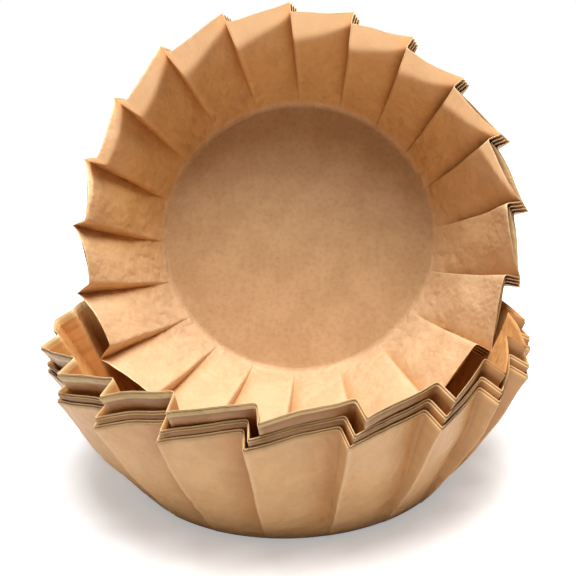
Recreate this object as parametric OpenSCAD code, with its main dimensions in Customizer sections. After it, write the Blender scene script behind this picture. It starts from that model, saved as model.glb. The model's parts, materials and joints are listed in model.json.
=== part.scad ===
// Pleated cup liners, each one pressed from a single flat round of parchment paper.
// One nest stands upright, and a second nest leans back inside its bowl.

/* [Paper] */
// Diameter of the flat round that a liner is pressed from
sheet_d = 250; // [236:1:262]
// Diameter of the flat floor, out to its crease
base_d = 130; // [122:1:138]
// Thickness of the paper as drawn, thicker than the real sheet
paper_t = 0.2; // [0.15:0.05:0.35]

/* [Wall] */
// Number of folds around the wall
folds = 20; // [16:1:24]
// Angle between the floor and the middle of the folded wall
wall_angle = 61.6; // [57:0.2:66]
// Length of the rounded heel on either side of the crease
heel = 2.5; // [1:0.5:5]
// Distance round the rim that the short face of a fold leans
fold_lean = 1; // [0.5:0.1:2]

/* [Upright nest] */
// Angle of an outer fold of the lowest liner
upright_fold_angle = 10; // [0:1:17]
// Turn from the lowest close pair of liners to the middle one
next_pair_turn = 0.6; // [0.5:0.1:2]
// Turn from the middle close pair to the top one
top_pair_turn = 1.5; // [0.6:0.1:2]
// Gap left where one liner rests in another
rest_gap = 0.2; // [0.15:0.05:0.3]
// How far the long faces swell outwards, as a share of the fold's depth
upright_swell = 0.15; // [0:0.05:0.25]
// How far the folds are pushed to one side and the other
upright_shift = 1; // [0:0.1:1.5]

/* [Leaning nest] */
// Tilt of the leaning liners, where 0 is upright
lean_tilt = 67.2; // [60:0.2:72]
// Direction that they lean in, turned from straight back
lean_heading = -5.2; // [-12:0.2:12]
// Angle of an outer fold of the rearmost leaning liner
lean_fold_angle = 16; // [0:1:17]
// Turn from one leaning liner to the next
lean_turn = 0.5; // [0.5:0.1:1.8]
// How far the long faces sink inwards, as a share of the fold's depth
lean_hollow = 0.15; // [0:0.05:0.25]
// How far the folds are pushed to one side and the other
lean_shift = 1.4; // [0:0.1:1.8]
// How far the rim is drawn in all round
lean_sink = 3; // [0:0.1:4]
// How much further the rim is drawn in at the top, and how much less at the bottom
lean_sway = 3.5; // [0:0.1:4]
// How far the rim waves out and in, three times round
lean_ripple = 1.8; // [0:0.1:2.4]

/* [Hidden] */

UPRIGHT_COUNT = 6;
LEANING_COUNT = 4;

base_r = base_d / 2;
slant = (sheet_d - base_d) / 2;
rim_r = wall_r(slant);
fold_count = round(folds);
rim_pitch = 2 * PI * rim_r / fold_count;
rim_depth = fold_depth(slant);

// One fold as a section: how far round it each corner lies, as a share of the fold
// The first corner is the sharp outer fold, and the last two round the inner one
MIDDLE_SHARE = 0.46;
BEND_SHARE = 0.06;
inner_share = 1 - fold_lean / rim_pitch;
corner_share = [0, MIDDLE_SHARE, inner_share - BEND_SHARE, inner_share];
corners = len(corner_share);
ring = fold_count * corners;

// How far out of the middle of the wall each corner lies, as a share of the fold's depth
OUTER_OUT = 0.5;
MIDDLE_OUT = 0.04;
INNER_OUT = -0.48;
BEND_OUT = -0.44;
function corner_out(leans) =
    [OUTER_OUT, MIDDLE_OUT + (leans ? -lean_hollow : upright_swell), INNER_OUT, BEND_OUT];

// Numbers and angles of the places where folds are crowded and where the rim stands out
UPRIGHT_CROWDS = 4;
UPRIGHT_CROWD_ANGLE = 301;
LEAN_CROWDS = 2;
LEAN_SWAY_ANGLE = -65;
LEAN_RIPPLES = 3;
LEAN_RIPPLE_ANGLE = -7;

// Angle that a point of a liner is pushed to from its even place
function pushed(leans, a) = leans
    ? a + lean_shift * cos(LEAN_CROWDS * a)
    : a + upright_shift * cos(UPRIGHT_CROWDS * (a - UPRIGHT_CROWD_ANGLE));
// Greatest share by which that narrows a fold
function crowding(leans) =
    (leans ? LEAN_CROWDS * lean_shift : UPRIGHT_CROWDS * upright_shift) * PI / 180;

// How far the rim stands out of its even place at an angle
function rim_wave(leans, a) = leans
    ? lean_sway * cos(a - LEAN_SWAY_ANGLE)
        + lean_ripple * cos(LEAN_RIPPLES * (a - LEAN_RIPPLE_ANGLE)) - lean_sink
    : 0;
function steepest_wall(leans) =
    wall_angle + (leans ? atan((lean_sink + lean_sway + lean_ripple) / slant) : 0);

// The wall is drawn through three rings: the floor's edge, the top of the heel and the rim
rings = 3;

// Steepest slope of a fold's long face against the wall, which sets how close liners nest
function face_slope(leans) = max([for (j = [0:1]) atan(
    (corner_out(leans)[j] - corner_out(leans)[j + 1]) * rim_depth
    / ((corner_share[j + 1] - corner_share[j]) * rim_pitch * (1 - crowding(leans))))]);

// In a close pair the short faces of the folds rest against one another, just above the floor
pair_turn = (paper_t + rest_gap) / base_r * 180 / PI / (1 - crowding(false));

upright_steps = [pair_turn, next_pair_turn, pair_turn, top_pair_turn, pair_turn];
leaning_steps = [for (k = [1:LEANING_COUNT - 1]) lean_turn];
upright_lifts = [for (k = [0:UPRIGHT_COUNT - 1]) nest_lift(false, k, upright_steps)];
leaning_lifts = [for (k = [0:LEANING_COUNT - 1]) nest_lift(true, k, leaning_steps)];
bowl_floor = upright_lifts[UPRIGHT_COUNT - 1] + paper_t;
bowl_rim = upright_lifts[UPRIGHT_COUNT - 1] + inner_fold_at(slant)[1];

// Radius of the middle of the wall at a distance along it from the crease
function wall_r(s) = base_r + s * cos(wall_angle);

// Depth of the folds there: the round of paper is longer than the wall it makes,
// and a long face and a short one at right angles take up that length exactly
function fold_depth(s) =
    let (paper_arc = 2 * PI * (base_r + s) / fold_count)
    let (wall_arc = 2 * PI * wall_r(s) / fold_count)
    (paper_arc * paper_arc - wall_arc * wall_arc) / (2 * paper_arc);

// Radius and height of a point of the wall, at a distance out of its middle
function wall_line(s, out) =
    [wall_r(s) + out * sin(wall_angle), s * sin(wall_angle) - out * cos(wall_angle)];
function inner_fold_at(s) = wall_line(s, INNER_OUT * fold_depth(s));

// A liner that is turned in its neighbour's folds climbs their long faces by this much
function nest_step(leans, turn) =
    let (slope = face_slope(leans))
    let (climb = turn * PI / 180 * rim_r * (1 + crowding(leans)) * sin(slope))
    (paper_t + rest_gap + climb) / (cos(steepest_wall(leans)) * cos(slope));
function nest_turn(k, steps) = k == 0 ? 0 : nest_turn(k - 1, steps) + steps[k - 1];
function nest_lift(leans, k, steps) =
    k == 0 ? 0 : nest_lift(leans, k - 1, steps) + nest_step(leans, steps[k - 1]);

// Unit vector across a section's side, out of the paper
function side_normal(a, b) = [a[1] - b[1], b[0] - a[0]] / norm(b - a);
// Vector from a corner to the mitre of a layer of unit thickness
function mitre(u, v) = (u + v) / (1 + u * v);

// Angle of corner i of a liner whose first outer fold is at a given turn
function corner_angle(leans, turn, i) =
    let (turns = floor(i / corners))
    pushed(leans, turn + (turns + corner_share[i - turns * corners]) * 360 / fold_count);

// That corner a distance along the wall, as distance round it and distance out of its middle
function corner_at(leans, turn, i, s) =
    let (a = corner_angle(leans, turn, i))
    let (j = i - floor(i / corners) * corners)
    [a * PI / 180 * rim_r, corner_out(leans)[j] * fold_depth(s) + rim_wave(leans, a) * s / slant];
function corner_mitre(leans, turn, i) = mitre(
    side_normal(corner_at(leans, turn, i - 1, slant), corner_at(leans, turn, i, slant)),
    side_normal(corner_at(leans, turn, i, slant), corner_at(leans, turn, i + 1, slant)));

// Angles of the profile's mitres at the floor's edge and the top of the heel
heel_angle = wall_angle / 2;
floor_mitre = mitre([0, -1], [sin(heel_angle), -cos(heel_angle)]);
heel_mitre = mitre([sin(heel_angle), -cos(heel_angle)], [sin(wall_angle), -cos(wall_angle)]);

// Radius, height and angle of corner i on a ring, on the outer or the inner face of the paper
function section_point(leans, turn, level, i, inset) =
    level == 0 ? [
        base_r - heel - inset * floor_mitre[0],
        -inset * floor_mitre[1],
        corner_angle(leans, turn, i)
    ] :
    level == 1 ? let (line = wall_line(heel, corner_at(leans, turn, i, heel)[1])) [
        line[0] - inset * heel_mitre[0],
        line[1] - inset * heel_mitre[1],
        corner_angle(leans, turn, i)
    ] :
    let (line = wall_line(slant, corner_at(leans, turn, i, slant)[1]))
    let (m = inset * corner_mitre(leans, turn, i)) [
        line[0] - m[1] * sin(wall_angle),
        line[1] + m[1] * cos(wall_angle),
        corner_angle(leans, turn, i) - m[0] / rim_r * 180 / PI
    ];

// All the points of one ring, on one face of the paper
function ring_points(leans, turn, level, inset) = [
    for (i = [0:ring - 1])
        let (p = section_point(leans, turn, level, i, inset))
        [p[0] * cos(p[2]), p[0] * sin(p[2]), p[1]]
];

// One liner's points: both floor centres, then the outer rings and the inner rings
function liner_points(leans, turn) = concat(
    [[0, 0, 0], [0, 0, paper_t]],
    [for (level = [0:rings - 1]) each ring_points(leans, turn, level, 0)],
    [for (level = [0:rings - 1]) each ring_points(leans, turn, level, paper_t)]);

// Index of point i of a ring; face 0 is the outer face and face 1 the inner one
function at(face, level, i) = 2 + (face * rings + level) * ring + i % ring;
function flip(faces) = [for (f = faces) [f[2], f[1], f[0]]];
function floor_faces(face) = [for (i = [0:ring - 1]) [face, at(face, 0, i), at(face, 0, i + 1)]];
function wall_faces(face) = [
    for (level = [0:rings - 2], i = [0:ring - 1]) each [
        [at(face, level, i), at(face, level + 1, i), at(face, level + 1, i + 1)],
        [at(face, level, i), at(face, level + 1, i + 1), at(face, level, i + 1)]
    ]
];
function rim_faces() = [
    for (i = [0:ring - 1]) each [
        [at(0, rings - 1, i), at(1, rings - 1, i), at(1, rings - 1, i + 1)],
        [at(0, rings - 1, i), at(1, rings - 1, i + 1), at(0, rings - 1, i + 1)]
    ]
];
function liner_faces() = concat(
    floor_faces(0), wall_faces(0), rim_faces(), flip(floor_faces(1)), flip(wall_faces(1)));

// The leaning liners' outer points, tilted about the middle of the rearmost floor
function tilted(p) = [
    p[0],
    p[1] * cos(lean_tilt) - p[2] * sin(lean_tilt),
    p[1] * sin(lean_tilt) + p[2] * cos(lean_tilt)
];
function leaning_turn(k) = lean_fold_angle + nest_turn(k, leaning_steps);
leaning_points = [
    for (k = [0:LEANING_COUNT - 1], level = [0:rings - 1])
        for (p = ring_points(true, leaning_turn(k), level, 0))
            tilted([p[0], p[1], p[2] + leaning_lifts[k]])
];

// The leaning nest stands on the bowl's floor and lies back against the bowl's inner folds
lean_z = bowl_floor + rest_gap - min([for (p = leaning_points) p[2]]);
function bowl_r(z) =
    let (top = inner_fold_at(slant))
    base_r + (top[0] - base_r) * (z - bowl_floor) / top[1] - paper_t - rest_gap;
lean_y = min([
    for (p = leaning_points)
        let (z = p[2] + lean_z)
        if (z < bowl_rim) sqrt(pow(bowl_r(z), 2) - pow(p[0], 2)) - p[1]
]);

// One liner, floor down
module liner(leans, turn) {
    color([0.82, 0.61, 0.39])
        polyhedron(points = liner_points(leans, turn), faces = liner_faces(), convexity = 10);
}

// Liner k of the upright nest, counted from the lowest
module upright_liner(k) {
    translate([0, 0, upright_lifts[k]])
        liner(false, upright_fold_angle + nest_turn(k, upright_steps));
}

// Liner k of the leaning nest, counted from the rearmost
module leaning_liner(k) {
    rotate([0, 0, lean_heading])
        translate([0, lean_y, lean_z])
            rotate([lean_tilt, 0, 0])
                translate([0, 0, leaning_lifts[k]])
                    liner(true, leaning_turn(k));
}

module upright_liner_1() { upright_liner(0); }
module upright_liner_2() { upright_liner(1); }
module upright_liner_3() { upright_liner(2); }
module upright_liner_4() { upright_liner(3); }
module upright_liner_5() { upright_liner(4); }
module upright_liner_6() { upright_liner(5); }
module leaning_liner_1() { leaning_liner(0); }
module leaning_liner_2() { leaning_liner(1); }
module leaning_liner_3() { leaning_liner(2); }
module leaning_liner_4() { leaning_liner(3); }

upright_liner_1();
upright_liner_2();
upright_liner_3();
upright_liner_4();
upright_liner_5();
upright_liner_6();
leaning_liner_1();
leaning_liner_2();
leaning_liner_3();
leaning_liner_4();
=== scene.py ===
"""Dresses two nests of pleated parchment paper liners, and sets them on a pale studio floor."""
import json
import math

import bpy
import numpy as np
from bpy.props import FloatProperty, FloatVectorProperty, IntProperty, PointerProperty
from mathutils import Matrix, Vector


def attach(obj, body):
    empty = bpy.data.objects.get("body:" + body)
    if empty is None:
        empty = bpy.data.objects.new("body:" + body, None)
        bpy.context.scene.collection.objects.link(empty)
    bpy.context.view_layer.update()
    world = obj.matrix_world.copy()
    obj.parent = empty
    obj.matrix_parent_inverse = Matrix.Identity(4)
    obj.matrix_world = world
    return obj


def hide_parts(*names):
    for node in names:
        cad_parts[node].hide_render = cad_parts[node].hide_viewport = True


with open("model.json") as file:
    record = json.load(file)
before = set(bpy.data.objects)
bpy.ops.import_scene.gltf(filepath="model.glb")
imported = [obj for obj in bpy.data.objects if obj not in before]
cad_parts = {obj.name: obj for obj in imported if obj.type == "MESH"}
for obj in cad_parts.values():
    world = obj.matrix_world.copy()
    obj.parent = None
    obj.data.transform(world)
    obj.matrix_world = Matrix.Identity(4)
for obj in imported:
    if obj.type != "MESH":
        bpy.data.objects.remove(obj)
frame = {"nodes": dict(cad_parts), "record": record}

bl_info = {
    "name": "Pleated Paper Liners",
    "version": (1, 0, 0),
    "blender": (4, 5, 0),
    "location": "View3D > Sidebar > Liners",
    "description": "Builds two nests of pleated parchment paper liners and their studio",
    "category": "Add Mesh",
}

ROOT = "root"
UPRIGHT = ["upright_liner_%d" % k for k in range(1, 7)]
LEANING = ["leaning_liner_%d" % k for k in range(1, 5)]
SLOTS = {row["node"]: row["material_slot"] for row in frame["record"]["subparts"]}
LEANING_SLOTS = [SLOTS[node] for node in LEANING]
MM = 0.001

# rings of points on the floor and the wall: hidden liners, the lowest, the upright bowl and the front one
HIDDEN_RINGS, LOWEST_RINGS, BOWL_RINGS, FRONT_RINGS = (4, 16), (4, 32), (12, 32), (40, 40)
PER_FOLD = 26
# length of paper that a turn of one radian counts for when the points of a fold are placed
TURN_WEIGHT = 1.1 * MM
UPRIGHT_SEED, LEANING_SEED = 11, 29
FOLD_UNEVENNESS = 0.09
CRUMPLE_HEIGHT, CRUMPLE_SPACING = 0.42 * MM, 9 * MM
RIPPLE_HEIGHT, RIPPLE_SPACING = 0.35 * MM, 32 * MM
# the liner of each upright pair that is pushed towards the other, counted from 0, and which way
PUSHED = {1: -1, 3: -1, 4: 1}
# how deep the shade between the upright rims is, liner by liner
RIM_SHADE = (0.0, 0.9, 0.9, 0.9, 0.9, 0.65)
# places on the leaning rim, to the left and the right of its lowest point, where it is spread
SPREAD_PLACES = (math.radians(226), math.radians(322))

# how far the underside of a packed floor may be from flat
FLAT_WITHIN = 0.05 * MM

# what a paper's material reads: each mark's share on the outer face, and its values at the two middles
MARKS = {
    "up_the_wall": (1, (-1, -1)), "in_the_fold": (1, (0, 0)), "backlit_band": (0, (0, 0)),
    "overhang_shade": (1, (0, 0)), "inside": (0, (1, 0)),
}
# colours that the paper's own colour is multiplied by: its mottling, and painted shade in the grooves
CLOUD_TINT, FLECK_TINT, GROOVE_SHADE = (0.84, 0.81, 0.75), (0.80, 0.74, 0.66), (0.72, 0.54, 0.31)
# painted shade where a rim overhangs the paper: darker on the outer face between the upright rims, and amber
# on the inner face, as if lit only by light that other faces throw back
OUTER_SHADE, INNER_SHADE = (0.44, 0.29, 0.14), (0.97, 0.79, 0.44)
CRUMPLE_SIZE = 9 * MM
# strength of the painted glow of light coming through the band along the front rim
GLOW_STRENGTH = 0.40

LAMP_AT, LAMP_AIM, LAMP_SIZE = (0.045, -0.10, 0.95), (0, 0, 0.08), 0.60
FLOOR_SIZE, FLOOR_GREY = 8, 0.86
# the floor's glow to the camera: where it starts to grow, where it is full, and how strong it is before that
GLOW_FROM, GLOW_FULL, GLOW_NEAR = 0.12, 0.6, 0.40
SENSOR_WIDTH = 36
WHITE = (1, 1, 1, 1)


def length(name, description, value, **more):
    """A property for a length in metres."""
    return FloatProperty(
        name=name, description=description, default=value, subtype="DISTANCE", unit="LENGTH", **more)


def angle(name, description, degrees):
    """A property for an angle, with its default given in degrees."""
    return FloatProperty(
        name=name, description=description, default=math.radians(degrees), subtype="ANGLE", unit="ROTATION")


def share(name, description, value, **more):
    """A property for a plain number."""
    return FloatProperty(name=name, description=description, default=value, **more)


def count(name, description, value, **more):
    """A property for a whole number."""
    return IntProperty(name=name, description=description, default=value, **more)


def colour(name, description, value):
    """A property for a colour in linear light."""
    return FloatVectorProperty(
        name=name, description=description, subtype="COLOR", size=3, default=value, min=0, max=1)


class PaperSizes(bpy.types.PropertyGroup):
    """Sizes of the paper and of the cup that it is pressed into"""

    sheet: length("Sheet Diameter", "Flat round that a liner is pressed from", 0.250)
    floor: length("Floor Diameter", "Flat floor of a liner, out to its crease", 0.130)
    thickness: length("Paper Thickness", "Thickness of the paper as it is drawn", 0.0002)
    wall_angle: angle("Wall Angle", "Angle between the floor and the wall", 61.6)
    heel: length("Heel", "Length of the rounding on either side of the crease", 0.0025)
    folds: count("Folds", "Number of folds round the wall", 20, min=8, max=40)
    fold_lean: length("Fold Lean", "Distance round the rim that a short face leans", 0.001)
    outer_round: length("Outer Rounding", "How far the sharp outer folds are smoothed", 0.00035)
    inner_round: length("Inner Rounding", "How far the soft inner folds are smoothed", 0.0011)
    wall_bow: length("Wall Bow", "How far the middle of the wall bows outwards", 0.0016)


class UprightNest(bpy.types.PropertyGroup):
    """How the liners of the upright nest are pressed"""

    fold_at: angle("Fold Angle", "Angle of an outer fold of the lowest liner", 10)
    pair_turn: angle("Pair Turn", "Turn between the two liners of a close pair", 0.38)
    next_pair_turn: angle("Next Pair Turn", "Turn from the lowest pair to the middle one", 0.6)
    top_pair_turn: angle("Top Pair Turn", "Turn from the middle pair to the top one", 1.5)
    curl: share("Curl", "Power of the curve along which a long face runs in", 0.8)
    swell: share("Swell", "How far a long face swells outwards, as a share of the fold's depth", 0.0)
    shift: angle("Fold Shift", "How far the folds are crowded to one side and the other", 1.5)
    shift_waves: count("Shift Waves", "Number of crowded places round a liner", 4)
    shift_at: angle("Shift Angle", "Angle of the first crowded place", 301)
    wave: length("Rim Wave", "How far the lower rims wave in and out, three times round", 0.0010)
    wave_at: angle("Rim Wave Angle", "Angle at which the lower rims stand furthest out", 325)
    top_wave: length("Top Wave", "How far the top pair's rims wave in and out, three times round", 0.0012)
    top_wave_at: angle("Top Wave Angle", "Angle at which the top pair's rims stand furthest out", 294)
    top_room: length("Top Room", "How far the top pair's rims may stand out past the pair below", 0.0007)
    close: length("Close", "How much closer than evenly nested a pair is pushed together", 0.0006)
    close_turn: angle("Close Turn", "How much less its liners are then turned", 0.17)
    top_off: length("Top Offset", "How much taller the top pair's walls are on their tallest side", 0.0030)
    top_off_at: angle("Top Offset Angle", "Side on which the top pair's walls are the tallest", 165)


class LeaningNest(bpy.types.PropertyGroup):
    """How the liners of the leaning nest are pressed"""

    fold_at: angle("Fold Angle", "Angle of an outer fold of the front liner", 18.4)
    turn: angle("Turn", "Turn from one liner to the next", 0.5)
    tilt: angle("Tilt", "Tilt of the liners, where 0 is upright", 67.2)
    heading: angle("Heading", "Direction that they lean in, turned from straight back", -5.2)
    curl: share("Curl", "Power of the curve along which a long face runs in", 0.65)
    swell: share("Swell", "How far a long face swells outwards, as a share of the fold's depth", -0.05)
    side_swell: share("Side Swell", "How much less it swells at the two sides of the front liner", 0.22)
    shift: angle("Fold Shift", "How far the folds are crowded to one side and the other", 1.4)
    shift_waves: count("Shift Waves", "Number of crowded places round a liner", 2)
    shift_at: angle("Shift Angle", "Angle of the first crowded place", 0)
    sink: length("Sink", "How far the rim is drawn in all round", 0.0028)
    sway: length("Sway", "How much further it is drawn in at the top, and less at the bottom", 0.0035)
    sway_at: angle("Sway Angle", "Angle at which the rim stands furthest out", -65)
    wave: length("Rim Wave", "How far the rim waves in and out, three times round", 0.0018)
    wave_at: angle("Rim Wave Angle", "Angle at which the waves stand furthest out", -7)
    spread: length("Spread", "How far the rim is spread at two places low down", 0.0046)
    spread_width: angle("Spread Width", "Half the width of those places", 20)
    # the band is where light coming through the single sheet from behind is painted on, as a paler colour and
    # a glow
    band: length("Band", "Width of the band along the front rim that is one sheet thick", 0.021)
    rear_slide: length("Rear Slide", "How far the rearmost rim lies to the right of the front one", 0.0005)
    rear_bulge: length("Rear Bulge", "How far the rearmost liner's rim stands out on the right", 0.0042)
    rear_bulge_at: angle("Rear Bulge Angle", "Place round the rim where it does", 10)
    rear_bulge_width: angle("Rear Bulge Width", "Half the width of that place", 30)


class PaperFinish(bpy.types.PropertyGroup):
    """Colours and sheen of the paper"""

    wall: colour("Wall Colour", "Pressed, greaseproof wall of a liner", (0.70, 0.40, 0.18))
    lit_wall: colour("Inner Wall Colour", "The same wall where it is lit from above", (0.70, 0.46, 0.26))
    floor: colour("Floor Colour", "Matt, unpressed floor of a liner", (0.57, 0.355, 0.180))
    # the edge colour is a paler paper that paints light: highlights on the ridges and on the crumple creases
    # by the heel, and light coming through the band along the front rim
    edge: colour("Edge Colour", "Worn ridges of the paper, and paper one sheet thick", (0.84, 0.62, 0.38))
    cut: colour("Cut Colour", "Cut edge of the paper", (0.72, 0.47, 0.22))
    glow: colour("Glow Colour", "Light that comes through paper one sheet thick", (1.0, 0.62, 0.32))
    # painted shade: how far the grooves are darkened
    groove_shading: share("Groove Depth", "How much deeper the colour is in the grooves", 0.75, min=0, max=1)
    crumple: length("Crumple", "Height of the crumples", 0.0011)
    wall_roughness: share("Wall Roughness", "Roughness of the pressed wall", 0.42, min=0, max=1)
    floor_roughness: share("Floor Roughness", "Roughness of the floor", 0.75, min=0, max=1)


class Studio(bpy.types.PropertyGroup):
    """Floor, lamp and camera"""

    elevation: angle("Camera Elevation", "Angle at which the camera looks down", 16.30)
    roll: angle("Camera Roll", "Turn of the camera about its view", -2.43)
    distance: length("Camera Distance", "From the camera to the point it looks at", 0.3498)
    aim_x: length("Aim Across", "Sideways place of the point it looks at", 0.0005)
    aim_z: length("Aim Height", "Height of the point it looks at", 0.0759)
    lens: share("Lens", "Focal length in millimetres on a sensor 36 mm wide", 53.43)
    key_power: share("Key Power", "Power of the soft lamp above, in watts", 17.0)
    sky: share("Sky Strength", "Strength of the white surroundings", 0.05)


def bell(a, place, width):
    """A bell curve round the circle about a place, for angles in radians."""
    gap = np.angle(np.exp(1j * (a - place)))
    return np.exp(-(gap / width) ** 2)


def smooth_step(x):
    """0 below 0, 1 above 1 and an even curve between them."""
    x = np.clip(x, 0.0, 1.0)
    return x * x * (3.0 - 2.0 * x)


def ripple(x, y, wavelength, seed, waves=7):
    """Soft noise of about unit size: a sum of sine waves of about one wavelength, each its own way."""
    draw = np.random.default_rng(seed)
    total = np.zeros(np.broadcast(x, y).shape)
    for _ in range(waves):
        heading, phase = draw.uniform(0, 2 * np.pi, 2)
        k = 2 * np.pi / (wavelength * draw.uniform(0.7, 1.4))
        total = total + np.sin(k * (x * np.cos(heading) + y * np.sin(heading)) + phase)
    return total / math.sqrt(waves / 2)


def creases(x, y, wavelength, seed, waves=5):
    """Crumpled noise from -1 to 1: the largest of several folded sine waves, which meet in sharp ridges."""
    draw = np.random.default_rng(seed)
    best = np.full(np.broadcast(x, y).shape, -1.0)
    for _ in range(waves):
        heading, phase = draw.uniform(0, 2 * np.pi, 2)
        k = np.pi / (wavelength * draw.uniform(0.7, 1.5))
        wave = np.abs(np.sin(k * (x * np.cos(heading) + y * np.sin(heading)) + phase))
        best = np.maximum(best, 1.0 - 2.0 * wave)
    return best


def wall_radius(sizes, s):
    """Radius of the middle of the wall, a distance s along it from the crease."""
    return sizes.floor / 2 + s * math.cos(sizes.wall_angle)


def fold_depth(sizes, s):
    """Depth of the folds there, whose long and short faces at right angles take up the paper's own arc."""
    s = np.maximum(s, 0.0)
    paper = 2 * np.pi * (sizes.floor / 2 + s) / sizes.folds
    wall = 2 * np.pi * wall_radius(sizes, s) / sizes.folds
    return (paper ** 2 - wall ** 2) / (2 * paper)


def smoothed(values, radius, fine, jump):
    """A closed run of values averaged with a bell curve of that radius; each turn adds the jump."""
    reach = int(3 * radius / fine)
    weights = np.exp(-0.5 * (np.arange(-reach, reach + 1) * fine / radius) ** 2)
    three = np.concatenate([values - jump, values, values + jump])
    return np.convolve(three, weights / weights.sum(), "same")[len(values):2 * len(values)]


def fold_section(sizes, curl, steps):
    """One fold at the rim: how far round it each step lies, how far out of the wall's middle, and its swell.

    The long face runs in from the sharp outer fold along a power curve, from 0.5 to -0.48 of the depth,
    and the short face runs straight back out. Both corners are rounded by an average along the paper, and
    the steps then lie closest where the paper turns most. The swell is a sine over the long face.
    """
    slant = (sizes.sheet - sizes.floor) / 2
    pitch, depth = 2 * np.pi * wall_radius(sizes, slant) / sizes.folds, fold_depth(sizes, slant)
    inner = 1.0 - sizes.fold_lean / pitch
    many = 1200
    x = np.linspace(0, 1, many // 2)
    y = np.linspace(0, 1, many // 4)[1:]
    line = np.concatenate([
        np.stack([x * inner, 0.5 - 0.98 * x ** curl, np.sin(np.pi * x)], 1),
        np.stack([inner + (1 - inner) * y, -0.48 + 0.98 * y, 0 * y], 1)])
    step = np.diff(line[:, :2], axis=0) * [pitch, depth]
    arc = np.concatenate([[0], np.cumsum(np.hypot(*step.T))])
    even = np.linspace(0, arc[-1], many, endpoint=False)
    fine = arc[-1] / many
    place, out, swell = (np.interp(even, arc, line[:, i]) for i in range(3))
    near = np.exp(-((even - arc[many // 2 - 1]) / (4 * sizes.inner_round)) ** 2)
    place, out, swell = (
        smoothed(run, sizes.outer_round, fine, jump) * (1 - near)
        + smoothed(run, sizes.inner_round, fine, jump) * near
        for run, jump in ((place, 1), (out, 0), (swell, 0)))
    heading = np.unwrap(np.arctan2(np.gradient(out * depth), np.gradient(place * pitch)))
    weight = 1.0 + TURN_WEIGHT * np.abs(np.gradient(heading)) / fine
    total = np.concatenate([[0], np.cumsum(weight)])
    picks = np.interp(np.linspace(0, total[-1], steps, endpoint=False), total, np.arange(many + 1))
    first = (place[0] + 1, out[0], swell[0])
    return [np.interp(picks, np.arange(many + 1), np.append(run, end))
            for run, end in zip((place, out, swell), first)]


def grid_rings(sizes, floor_rings, wall_rings):
    """Distances of a liner's rings from its crease, from the floor's middle out to the rim."""
    slant = (sizes.sheet - sizes.floor) / 2
    floor = -sizes.floor / 2 + (sizes.floor / 2 - sizes.heel) * np.linspace(0.02, 1, floor_rings)
    heel = np.linspace(-sizes.heel, sizes.heel, 8)[1:]
    wall = np.linspace(sizes.heel, slant, wall_rings + 1)[1:]
    return np.concatenate([floor, heel, wall])


def liner_surface(sizes, shape, floor_rings, wall_rings):
    """The middle of the paper of one liner, floor down, with the marks that its material reads.

    Each point has a distance s from the crease and an angle. The radius grows by s to the crease, bends
    over a parabola in the heel and grows by s times the cosine of the wall's angle beyond it. The fold's
    section, waves of the rim and crumples then move it out along the wall's normal. Where the round was
    pressed off its middle the wall is longer. The marks say how far up the wall a point is, how deep in
    the fold, how far it is in the band along the front rim that is one sheet thick, where light coming
    through is painted on, and how much painted shade it gets where the rim overhangs it.
    """
    place, out, swell = fold_section(sizes, shape["curl"], PER_FOLD)
    fold = np.repeat(np.arange(sizes.folds), PER_FOLD)
    place, out, swell = (np.tile(run, sizes.folds) for run in (place, out, swell))
    around = shape["fold_at"] + (fold + place) * 2 * np.pi / sizes.folds
    around = around + shape["shift"] * np.cos(shape["shift_waves"] * (around - shape["shift_at"]))
    slant = (sizes.sheet - sizes.floor) / 2
    s = grid_rings(sizes, floor_rings, wall_rings)[:, None]
    s = s * (1 + (s > 0) * shape["longer"](around) / slant)
    up = s / slant
    draw = np.random.default_rng(shape["seed"])
    deep = 1 + FOLD_UNEVENNESS * draw.uniform(-1, 1, sizes.folds)[fold]
    bend = np.clip(s + sizes.heel, 0, 2 * sizes.heel) ** 2 / (4 * sizes.heel)
    beyond = np.maximum(s - sizes.heel, 0)
    radius = sizes.floor / 2 + s + (bend + beyond) * (math.cos(sizes.wall_angle) - 1)
    rise = (bend + beyond) * math.sin(sizes.wall_angle)
    flat = np.maximum(sizes.floor / 2 + s, 0)
    x, y = flat * np.cos(around), flat * np.sin(around)
    on_wall = smooth_step((s - sizes.heel) / (4 * MM))
    low = 1 - smooth_step((s - 14 * MM) / (22 * MM))
    crumples = CRUMPLE_HEIGHT * creases(x, y, CRUMPLE_SPACING, shape["seed"] + 1)
    ripples = RIPPLE_HEIGHT * ripple(x, y, RIPPLE_SPACING, shape["seed"] + 2)
    offset = (
        (out + shape["swell"](around) * swell) * deep * fold_depth(sizes, s)
        + sizes.wall_bow * np.sin(np.pi * np.clip(up, 0, 1))
        + shape["rim_wave"](around) * np.clip(up, 0, 1)
        + crumples * on_wall * (0.25 + 0.75 * low)
        + ripples * smooth_step(s / (30 * MM)))
    radius = radius + offset * math.sin(sizes.wall_angle)
    rise = rise - offset * math.cos(sizes.wall_angle)
    band = shape["band"](around, 0.5 - out)
    in_band = smooth_step((band - slant + s) / (0.4 * np.maximum(band, MM)))
    # the painted shade under the rim is lifted towards an open rim
    rim_light = shape["open_rim"] * smooth_step(2 * up - 1)
    return {
        "points": np.stack([radius * np.cos(around), radius * np.sin(around), rise], -1),
        "flat_sheet": np.stack([x, y], -1) / sizes.sheet + 0.5,
        "up_the_wall": up,
        "in_the_fold": np.broadcast_to(0.5 - out, up.shape),
        "backlit_band": in_band * smooth_step(band / (4 * MM)),
        "overhang_shade": shape["overhang_shade"](around) * smooth_step(up / 0.06) * (1 - rim_light),
        "inside": np.ones(up.shape),
    }


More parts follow.
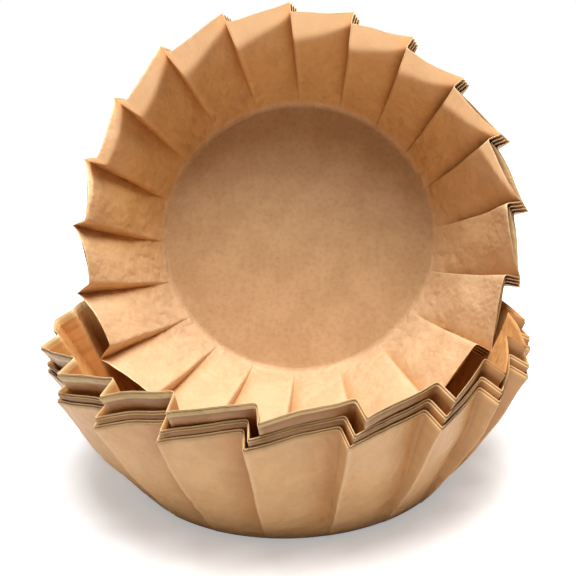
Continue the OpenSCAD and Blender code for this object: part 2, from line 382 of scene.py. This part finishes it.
def closed_sheet(name, surface, thickness):
    """A mesh of the paper: its middle surface moved half a thickness to each side, joined at the rim."""
    points = surface["points"]
    normal = np.cross(np.roll(points, -1, 1) - np.roll(points, 1, 1), np.gradient(points, axis=0))
    normal /= np.maximum(np.linalg.norm(normal, axis=-1, keepdims=True), 1e-12)
    inner, outer = points - normal * thickness / 2, points + normal * thickness / 2
    grid = np.concatenate([inner, outer[::-1]])
    rows, around = grid.shape[:2]
    verts = np.concatenate([grid.reshape(-1, 3), inner[:1].mean(1), outer[:1].mean(1)])
    i, j = np.arange(rows - 1)[:, None] * around, np.arange(around)[None, :]
    k = (j + 1) % around
    quads = np.stack([i + j, i + around + j, i + around + k, i + k], -1).reshape(-1, 4)
    last, poles = (rows - 1) * around, rows * around
    caps = np.concatenate([
        np.stack([np.full(around, poles), j[0], k[0]], -1),
        np.stack([np.full(around, poles + 1), last + k[0], last + j[0]], -1)])
    mesh = bpy.data.meshes.new(name)
    mesh.from_pydata(verts.tolist(), [], quads.tolist() + caps.tolist())
    mesh.polygons.foreach_set("use_smooth", np.ones(len(mesh.polygons), bool))
    sheet_place = np.concatenate([surface["flat_sheet"], surface["flat_sheet"][::-1]]).reshape(-1, 2)
    sheet_place = np.concatenate([sheet_place, np.full((2, 2), 0.5)])
    corner = np.empty(len(mesh.loops), np.int32)
    mesh.loops.foreach_get("vertex_index", corner)
    uv = mesh.uv_layers.new(name="flat_sheet")
    uv.data.foreach_set("uv", sheet_place[corner].astype(np.float32).ravel())
    for mark, (outer_share, at_poles) in MARKS.items():
        values = np.concatenate([surface[mark], surface[mark][::-1] * outer_share]).ravel()
        values = np.append(values, at_poles).astype(np.float32)
        mesh.attributes.new(mark, "FLOAT", "POINT").data.foreach_set("value", values)
    mesh.update()
    piece = bpy.data.objects.new(name, mesh)
    bpy.context.scene.collection.objects.link(piece)
    return piece


def node_place(node, tilt, heading):
    """The place of a packed liner: its turn, and the middle of its floor's underside."""
    turn = Matrix.Rotation(heading, 3, "Z") @ Matrix.Rotation(tilt, 3, "X")
    corners = frame["nodes"][node].data.vertices
    places = np.empty(len(corners) * 3)
    corners.foreach_get("co", places)
    places = places.reshape(-1, 3)
    height = places @ np.array(turn.col[2])
    under = places[height < height.min() + FLAT_WITHIN]
    middle = (under.min(0) + under.max(0)) / 2
    return np.array(turn), middle


def dress_liner(sizes, node, surface, tilt, heading):
    """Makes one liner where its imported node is, and puts it in that node's stead."""
    turn, middle = node_place(node, tilt, heading)
    surface["points"] = (surface["points"] + [0, 0, sizes.thickness / 2]) @ turn.T + middle
    piece = closed_sheet(node.replace("liner", "paper"), surface, sizes.thickness)
    piece.data.materials.append(slot_material(SLOTS[node]))
    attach(piece, ROOT)
    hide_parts(node)
    return piece


class Graph:
    """A node tree with short calls that add a node, set its sockets and link it."""

    def __init__(self, tree):
        self.tree = tree

    def add(self, kind, settings=None, **sockets):
        """Adds a node; a socket's value is a constant or another node's output."""
        node = self.tree.nodes.new("ShaderNode" + kind)
        for name, value in (settings or {}).items():
            setattr(node, name, value)
        for name, value in sockets.items():
            slot = int(name[1:]) if name[0] == "_" else name.replace("_", " ")
            if isinstance(value, bpy.types.NodeSocket):
                self.tree.links.new(value, node.inputs[slot])
            else:
                node.inputs[slot].default_value = value
        return node

    def math(self, operation, a, b=0.0, clamp=False):
        """The result of an operation on two numbers."""
        return self.add("Math", {"operation": operation, "use_clamp": clamp}, _0=a, _1=b).outputs[0]

    def link(self, output, target):
        """Links an output to a socket."""
        self.tree.links.new(output, target)

    def times(self, a, b):
        """The product of two numbers."""
        return self.math("MULTIPLY", a, b)

    def ramp(self, value, low, high, to_low=0.0, to_high=1.0):
        """A smooth step of a value, from low to high."""
        return self.add(
            "MapRange", {"interpolation_type": "SMOOTHSTEP"}, Value=value, From_Min=low, From_Max=high,
            To_Min=to_low, To_Max=to_high).outputs["Result"]

    def mix(self, factor, a, b, blend="MIX"):
        """Two colours mixed by a factor."""
        node = self.add("Mix", {"data_type": "RGBA", "blend_type": blend})
        for slot, value in zip((0, 6, 7), (factor, a, b)):
            if isinstance(value, bpy.types.NodeSocket):
                self.tree.links.new(value, node.inputs[slot])
            else:
                node.inputs[slot].default_value = value if slot == 0 else (*value, 1)
        return node.outputs[2]

    def tint(self, tone, amount, by):
        """A colour multiplied by another, as far as the amount says."""
        return self.mix(amount, tone, by, "MULTIPLY")

    def attribute(self, name):
        """A mesh attribute's number."""
        return self.add("Attribute", {"attribute_name": name}).outputs["Fac"]


def new_group(name, inputs, outputs):
    """An empty node group with float or vector sockets, and its graph, its input and its output node."""
    tree = bpy.data.node_groups.new(name, "ShaderNodeTree")
    for socket, kind, value in inputs:
        made = tree.interface.new_socket(socket, in_out="INPUT", socket_type="NodeSocket" + kind)
        if value is not None:
            made.default_value = value
    for socket in outputs:
        tree.interface.new_socket(socket, in_out="OUTPUT", socket_type="NodeSocketFloat")
    graph = Graph(tree)
    return graph, tree.nodes.new("NodeGroupInput").outputs, tree.nodes.new("NodeGroupOutput").inputs


def flat_noise(graph, place, scale, detail, roughness):
    """Noise over the flat sheet, from about 0 to 1."""
    return graph.add(
        "TexNoise", {"noise_dimensions": "2D"}, Vector=place, Scale=scale, Detail=detail,
        Roughness=roughness).outputs["Fac"]


def grain_group():
    """Mottling of the paper: broad clouds, and fine flecks of fibre."""
    graph, given, out = new_group("paper_grain", [("Place", "Vector", None)], ["Clouds", "Flecks"])
    graph.link(flat_noise(graph, given["Place"], 60.0, 3.0, 0.65), out["Clouds"])
    graph.link(flat_noise(graph, given["Place"], 420.0, 2.0, 0.7), out["Flecks"])
    return graph.tree


def crumple_group():
    """Crumples of a given size: noise folded about its middle, so that it meets in sharp creases."""
    graph, given, out = new_group(
        "paper_crumple", [("Place", "Vector", None), ("Size", "Float", 0.008)], ["Height", "Crease"])
    noise = flat_noise(graph, given["Place"], graph.math("DIVIDE", 1.0, given["Size"]), 1.5, 0.45)
    folded = graph.math("ABSOLUTE", graph.math("SUBTRACT", noise, 0.5))
    graph.link(folded, out["Height"])
    graph.link(graph.ramp(folded, 0.0, 0.035, 1.0, 0.0), out["Crease"])
    return graph.tree


def folds_group():
    """Where on the folds a point is: in the groove, on the ridge, by the heel or on the cut edge."""
    names = ("up_the_wall", "in_the_fold", "inside")
    graph, given, out = new_group(
        "paper_folds", [(name, "Float", 0.0) for name in names], ["Groove", "Ridge", "Heel", "Edge"])
    up, depth, inside = (given[name] for name in names)
    # on the inner face the outer folds are the grooves, and on the outer face the inner ones
    from_groove = graph.math("ABSOLUTE", graph.math("SUBTRACT", graph.math("SUBTRACT", 1.0, inside), depth))
    from_heel = graph.math("ABSOLUTE", graph.math("SUBTRACT", up, 0.06))
    high = graph.ramp(up, 0.02, 0.3)
    graph.link(graph.times(graph.ramp(from_groove, 0.0, 0.45, 1.0, 0.0), high), out["Groove"])
    graph.link(graph.times(graph.ramp(from_groove, 0.90, 0.99), high), out["Ridge"])
    graph.link(graph.ramp(from_heel, 0.03, 0.25, 1.0, 0.0), out["Heel"])
    graph.link(graph.ramp(up, 0.990, 0.998), out["Edge"])
    return graph.tree


def paper_material(name, finish, sheet, wall, groups):
    """Greaseproof kraft paper: a matt, mottled floor, a satin, creased wall, painted shade in the grooves and
    under overhanging rims, painted highlights on the ridges and creases, and a painted glow along the front
    rim.
    """
    material = bpy.data.materials.new(name)
    material.use_nodes = True
    graph = Graph(material.node_tree)
    shader = graph.tree.nodes["Principled BSDF"]
    grain, crumple, folds = groups
    up, depth, inside, backlit_band, overhang_shade = (
        graph.attribute(mark) for mark in ("up_the_wall", "in_the_fold", "inside", "backlit_band", "overhang_shade"))
    flat = graph.add("UVMap", {"uv_map": "flat_sheet"}).outputs["UV"]
    place = graph.add("VectorMath", {"operation": "SCALE"}, _0=flat, Scale=sheet).outputs[0]
    fibres = graph.add("Group", {"node_tree": grain}, Place=place).outputs
    small = graph.add("Group", {"node_tree": crumple}, Place=place, Size=CRUMPLE_SIZE).outputs
    marks = graph.add("Group", {"node_tree": folds}, _0=up, _1=depth, _2=inside).outputs
    on_wall = graph.ramp(up, -0.03, 0.02)

    clouds = graph.times(graph.ramp(fibres["Clouds"], 0.32, 0.68), 0.6)
    flecks = graph.times(graph.ramp(fibres["Flecks"], 0.42, 0.75), graph.ramp(on_wall, 0, 1, 0.45, 0.16))
    # painted shade in the grooves
    grooves = graph.times(marks["Groove"], finish.groove_shading)
    # painted shade under an overhanging rim, none in the band of painted light along the front rim
    shade = graph.times(graph.times(overhang_shade, graph.math("SUBTRACT", 1.0, backlit_band)), 0.8)
    # painted highlight along the crumple creases by the heel
    crease_highlight = graph.times(small["Crease"], graph.times(marks["Heel"], 0.16))
    tone = graph.mix(on_wall, finish.floor, wall)
    tone = graph.tint(tone, clouds, CLOUD_TINT)
    tone = graph.tint(tone, flecks, FLECK_TINT)
    tone = graph.tint(tone, grooves, GROOVE_SHADE)
    tone = graph.tint(tone, shade, graph.mix(inside, OUTER_SHADE, INNER_SHADE))
    tone = graph.mix(crease_highlight, tone, finish.edge)
    # painted highlight: a pale line along the ridges
    tone = graph.mix(graph.times(marks["Ridge"], 0.30), tone, finish.edge)
    tone = graph.mix(marks["Edge"], tone, finish.cut)
    # painted light coming through the band along the front rim, as a paler colour
    tone = graph.mix(graph.times(backlit_band, 0.7), tone, finish.edge)
    graph.link(tone, shader.inputs["Base Color"])

    rough = graph.ramp(on_wall, 0, 1, finish.floor_roughness, finish.wall_roughness)
    uneven = graph.times(graph.math("SUBTRACT", fibres["Clouds"], 0.5), 0.3)
    graph.link(graph.math("ADD", rough, uneven, True), shader.inputs["Roughness"])

    low = graph.times(on_wall, graph.ramp(up, 0.05, 0.6, 1.0, 0.22))
    height = graph.times(small["Height"], graph.times(low, 1.8))
    height = graph.math("ADD", height, graph.times(fibres["Clouds"], graph.times(on_wall, 1.1)))
    height = graph.math("ADD", height, graph.times(fibres["Flecks"], 0.06))
    bump = graph.add("Bump", None, Height=height, Strength=1.0, Distance=finish.crumple)
    graph.link(bump.outputs["Normal"], shader.inputs["Normal"])

    # painted glow of the light coming through the band along the front rim
    glow = graph.times(backlit_band, graph.ramp(fibres["Clouds"], 0.2, 0.8, 0.85, 1.1))
    graph.link(graph.mix(glow, (0, 0, 0), finish.glow), shader.inputs["Emission Color"])
    shader.inputs["Emission Strength"].default_value = GLOW_STRENGTH
    return material


GROUP_MAKERS = (("paper_grain", grain_group), ("paper_crumple", crumple_group), ("paper_folds", folds_group))


def slot_material(slot):
    """The paper of one material slot, made once; the groups are made with the first."""
    name = "dressed_" + slot
    made = bpy.data.materials.get(name)
    if made:
        return made
    groups = [bpy.data.node_groups.get(group) or make() for group, make in GROUP_MAKERS]
    finish = bpy.context.scene.paper_finish
    # the leaning liners get a paler copy of the wall colour, painted as lit from above
    wall = finish.lit_wall if slot in LEANING_SLOTS else finish.wall
    return paper_material(name, finish, bpy.context.scene.paper_sizes.sheet, wall, groups)


class LINERS_OT_upright_nest(bpy.types.Operator):
    """Build the nest of liners that stands upright"""

    bl_idname = "liners.upright_nest"
    bl_label = "Upright Nest"

    def execute(self, context):
        sizes, nest = context.scene.paper_sizes, context.scene.upright_nest
        steps = [0, nest.pair_turn, nest.next_pair_turn, nest.pair_turn, nest.top_pair_turn, nest.pair_turn]
        for k, node in enumerate(UPRIGHT):
            top = k >= 4
            wave, wave_at = (nest.top_wave, nest.top_wave_at) if top else (nest.wave, nest.wave_at)
            off = nest.top_off if top else 0.0
            push = PUSHED.get(k, 0)
            shape = {
                "curl": nest.curl, "fold_at": nest.fold_at + sum(steps[:k + 1]) + push * nest.close_turn,
                "shift": nest.shift, "shift_waves": nest.shift_waves, "shift_at": nest.shift_at,
                "swell": lambda a: nest.swell + 0 * a,
                "rim_wave": lambda a: np.minimum(
                    wave * np.cos(3 * (a - wave_at)),
                    nest.wave * np.cos(3 * (a - nest.wave_at)) + nest.top_room),
                "longer": lambda a: off * (0.4 + 0.6 * np.cos(a - nest.top_off_at)),
                "band": lambda a, d: 0 * a,
                "open_rim": 0.0,
                "overhang_shade": lambda a: RIM_SHADE[k] + 0 * a,
                "seed": UPRIGHT_SEED,
            }
            surface = liner_surface(sizes, shape, *{0: LOWEST_RINGS, 5: BOWL_RINGS}.get(k, HIDDEN_RINGS))
            surface["points"][..., 2] += nest.close * push
            dress_liner(sizes, node, surface, 0.0, 0.0)
        return {"FINISHED"}


class LINERS_OT_leaning_nest(bpy.types.Operator):
    """Build the nest of liners that leans back inside the upright nest's bowl"""

    bl_idname = "liners.leaning_nest"
    bl_label = "Leaning Nest"

    def execute(self, context):
        sizes, nest = context.scene.paper_sizes, context.scene.leaning_nest
        for k, node in enumerate(LEANING):
            steps_behind = len(LEANING) - 1 - k
            front, behind = steps_behind == 0, steps_behind / 3
            slide, bulge = nest.rear_slide * behind, nest.rear_bulge * behind
            spread = nest.spread * (1 - 0.20 * behind)
            side = nest.side_swell if front else 0.0
            shape = {
                "curl": nest.curl, "fold_at": nest.fold_at - steps_behind * nest.turn,
                "shift": nest.shift, "shift_waves": nest.shift_waves, "shift_at": nest.shift_at,
                "swell": lambda a: nest.swell - side * np.cos(a) ** 2,
                "rim_wave": lambda a: (
                    slide * np.cos(a) + bulge * bell(a, nest.rear_bulge_at, nest.rear_bulge_width)
                    + nest.sway * np.cos(a - nest.sway_at)
                    + nest.wave * np.cos(3 * (a - nest.wave_at)) - nest.sink
                    + spread * sum(bell(a, place, nest.spread_width) for place in SPREAD_PLACES)),
                "longer": lambda a: 0 * a,
                # band of painted light coming through the front rim: widest by the inner folds, only round
                # the upper part
                "band": lambda a, d: (
                    front * nest.band * (0.35 + 0.65 * d) * smooth_step(0.2 + np.sin(a))),
                "open_rim": 0.6,
                # painted shade over the upper side of the front liner's inside, under its overhanging wall
                "overhang_shade": lambda a: front * smooth_step(0.5 + 1.1 * np.sin(a - 0.15)),
                "seed": LEANING_SEED,
            }
            surface = liner_surface(sizes, shape, *(FRONT_RINGS if front else HIDDEN_RINGS))
            dress_liner(sizes, node, surface, nest.tilt, nest.heading)
        return {"FINISHED"}


def only_to_camera(graph, seen, real, end):
    """Shows one shader to the camera and another to every other ray."""
    is_camera = graph.add("LightPath").outputs["Is Camera Ray"]
    choose = graph.add("MixShader", None, Fac=is_camera, _1=real, _2=seen)
    graph.link(choose.outputs[0], graph.tree.nodes[end].inputs["Surface"])


def white_floor():
    """Matt white with a glow for the camera alone, so that it goes to white away from the shadow."""
    material = bpy.data.materials.new("studio_white")
    material.use_nodes = True
    graph = Graph(material.node_tree)
    shader = graph.tree.nodes["Principled BSDF"]
    shader.inputs["Base Color"].default_value = (FLOOR_GREY, FLOOR_GREY, FLOOR_GREY, 1)
    shader.inputs["Roughness"].default_value = 1
    shader.inputs["Specular IOR Level"].default_value = 0
    place = graph.add("TexCoord").outputs["Object"]
    away = graph.add("VectorMath", {"operation": "LENGTH"}, _0=place).outputs["Value"]
    far = graph.add("MapRange", None, Value=away, From_Min=GLOW_FROM, From_Max=GLOW_FULL, To_Min=GLOW_NEAR)
    glow = graph.add("Emission", None, Strength=far.outputs["Result"])
    both = graph.add("AddShader", None, _0=shader.outputs[0], _1=glow.outputs[0])
    only_to_camera(graph, both.outputs[0], shader.outputs[0], "Material Output")
    return material


def white_world(strength):
    """Soft white surroundings that the camera sees as plain white."""
    world = bpy.data.worlds.new("studio")
    world.use_nodes = True
    graph = Graph(world.node_tree)
    light = graph.tree.nodes["Background"]
    light.inputs["Color"].default_value = WHITE
    light.inputs["Strength"].default_value = strength
    seen = graph.add("Background", None, Color=WHITE)
    only_to_camera(graph, seen.outputs[0], light.outputs[0], "World Output")
    return world


def soft_lamp(name, place, aim, size, watts):
    """A square lamp at a place, turned towards a point."""
    data = bpy.data.lights.new(name, "AREA")
    data.energy, data.size = watts, size
    lamp = bpy.data.objects.new(name, data)
    lamp.location = place
    lamp.rotation_euler = (Vector(aim) - Vector(place)).to_track_quat("-Z", "Y").to_euler()
    bpy.context.scene.collection.objects.link(lamp)
    return lamp


class LINERS_OT_studio(bpy.types.Operator):
    """Build the floor, the lamp and the camera"""

    bl_idname = "liners.studio"
    bl_label = "Studio"

    def execute(self, context):
        scene = context.scene
        studio = scene.studio
        bpy.ops.mesh.primitive_plane_add(size=FLOOR_SIZE)
        floor = context.object
        floor.name = "studio_floor"
        floor.data.materials.append(white_floor())
        scene.world = white_world(studio.sky)
        soft_lamp("key_lamp", LAMP_AT, LAMP_AIM, LAMP_SIZE, studio.key_power)
        data = bpy.data.cameras.new("camera")
        data.lens, data.sensor_width, data.clip_start = studio.lens, SENSOR_WIDTH, 10 * MM
        camera = bpy.data.objects.new("camera", data)
        level = Matrix.Rotation(math.pi / 2 - studio.elevation, 4, "X") @ Matrix.Rotation(studio.roll, 4, "Z")
        aim = Vector((studio.aim_x, 0, studio.aim_z))
        camera.matrix_world = Matrix.Translation(aim) @ level @ Matrix.Translation((0, 0, studio.distance))
        scene.collection.objects.link(camera)
        scene.camera = camera
        scene.view_settings.view_transform = "Standard"
        return {"FINISHED"}


class LINERS_PT_panel(bpy.types.Panel):
    """Lists the pieces that can be built"""

    bl_label = "Liners"
    bl_space_type = "VIEW_3D"
    bl_region_type = "UI"
    bl_category = "Liners"

    def draw(self, context):
        for step in STEPS:
            self.layout.operator(step.bl_idname)
        for name in GROUPS:
            group = getattr(context.scene, name)
            for prop in group.__annotations__:
                self.layout.prop(group, prop)


GROUPS = {
    "paper_sizes": PaperSizes, "upright_nest": UprightNest, "leaning_nest": LeaningNest,
    "paper_finish": PaperFinish, "studio": Studio,
}
STEPS = (LINERS_OT_upright_nest, LINERS_OT_leaning_nest, LINERS_OT_studio)


def register():
    for cls in (*GROUPS.values(), *STEPS, LINERS_PT_panel):
        bpy.utils.register_class(cls)
    for name, cls in GROUPS.items():
        setattr(bpy.types.Scene, name, PointerProperty(type=cls))


def unregister():
    for name in GROUPS:
        delattr(bpy.types.Scene, name)
    for cls in reversed((*GROUPS.values(), *STEPS, LINERS_PT_panel)):
        bpy.utils.unregister_class(cls)


def main():
    """Registers the add-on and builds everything."""
    register()
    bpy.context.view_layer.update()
    bpy.ops.liners.upright_nest()
    bpy.ops.liners.leaning_nest()
    bpy.ops.liners.studio()


if __name__ == "__main__":
    main()
